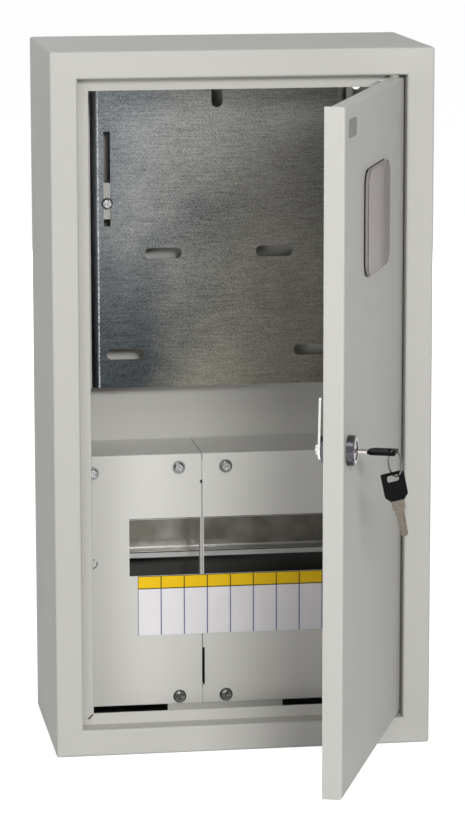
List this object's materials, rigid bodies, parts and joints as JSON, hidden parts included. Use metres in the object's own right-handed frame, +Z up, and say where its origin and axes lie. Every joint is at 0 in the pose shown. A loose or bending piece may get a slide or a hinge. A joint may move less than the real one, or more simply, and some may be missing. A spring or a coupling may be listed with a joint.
{
  "type": "electrical enclosure",
  "caption": "Wall-mounted sheet-steel meter and breaker enclosure with a hinged windowed door, cam lock with keys, slotted meter plate, breaker covers and a mounting rail.",
  "frame": {"origin": "middle of the case's back face, at the centre of the wall-fixing holes", "axes": "+X to the right as seen from the front, +Y towards the wall, +Z up; the door's side faces -Y"},
  "size_m": [0.28, 0.3666, 0.52],
  "materials": {
    "case_paint": "fine satin powder coat",
    "galvanised_sheet": "galvanised, faint spangle",
    "zinc_fasteners": "bright zinc plating",
    "lock_chrome": "polished",
    "key_nickel": "nickel plated",
    "key_plastic": "fine-grained moulding",
    "window_acrylic": "clear sheet",
    "brass_bar": "drawn",
    "insulator_plastic": "moulded",
    "washer_plastic": "moulded",
    "label_print": "printed, blank fields"
  },
  "bodies": {
    "case": {"body_shell": "case_paint", "cover_bracket_bottom": "case_paint", "cover_bracket_top": "case_paint", "cover_panel_left": "case_paint", "cover_panel_right": "case_paint", "cover_screws": "zinc_fasteners", "cover_tab_left": "case_paint", "cover_tab_right": "case_paint", "cover_washers": "zinc_fasteners", "din_rail": "galvanised_sheet", "earth_bar": "brass_bar", "earth_bar_screws": "zinc_fasteners", "earth_nut": "zinc_fasteners", "earth_spacers": "zinc_fasteners", "earth_stud": "zinc_fasteners", "earth_washer": "zinc_fasteners", "hinge_pin_bottom": "zinc_fasteners", "hinge_pin_top": "zinc_fasteners", "hinge_washers": "washer_plastic", "label_strip": "label_print", "neutral_bar": "brass_bar", "neutral_bar_screws": "zinc_fasteners", "neutral_insulators": "insulator_plastic", "plate_bracket_left": "case_paint", "plate_bracket_right": "case_paint", "plate_screws": "zinc_fasteners", "rail_screws": "zinc_fasteners", "rail_support_left": "case_paint", "rail_support_right": "case_paint", "side_post_left": "case_paint", "side_post_right": "case_paint"},
    "meter_plate": {"meter_plate": "galvanised_sheet"},
    "door": {"door_panel": "case_paint", "window_pane": "window_acrylic", "lock_body": "lock_chrome", "lock_nut": "zinc_fasteners"},
    "lock_plug": {"lock_plug": "lock_chrome", "lock_cam": "zinc_fasteners", "cam_screw": "zinc_fasteners"},
    "key": {"key_blade": "key_nickel", "key_bow": "key_plastic"},
    "key_ring": {"key_ring": "key_nickel"},
    "spare_key": {"spare_key_blade": "key_nickel", "spare_key_bow": "key_plastic"}
  },
  "joints": [
    {"name": "door_hinge", "type": "hinge", "parent": "case", "child": "door", "pos_m": [0.1113, -0.1435, 0], "axis": [0, 0, 1], "range_deg": [-69, 31]},
    {"name": "plate_slide", "type": "slide", "parent": "case", "child": "meter_plate", "axis": [0, 0, 1], "range_m": [-0.04, 0.012]},
    {"name": "lock_turn", "type": "hinge", "parent": "door", "child": "lock_plug", "pos_m": [0.03565, -0.34058, 0.0032], "axis": [0.9336, -0.3584, 0], "range_deg": [0, 90]},
    {"name": "key_slide", "type": "slide", "parent": "lock_plug", "child": "key", "axis": [0.9336, -0.3584, 0], "range_m": [0, 0.02]},
    {"name": "ring_swing", "type": "hinge", "parent": "key", "child": "key_ring", "pos_m": [0.07196, -0.35452, 0.0032], "axis": [0.3584, 0.9336, 0], "range_deg": [-20, 4]},
    {"name": "spare_swing", "type": "hinge", "parent": "key_ring", "child": "spare_key", "pos_m": [0.07108, -0.35739, -0.0105], "axis": [0, -1, 0], "range_deg": [-24, 8]}
  ]
}
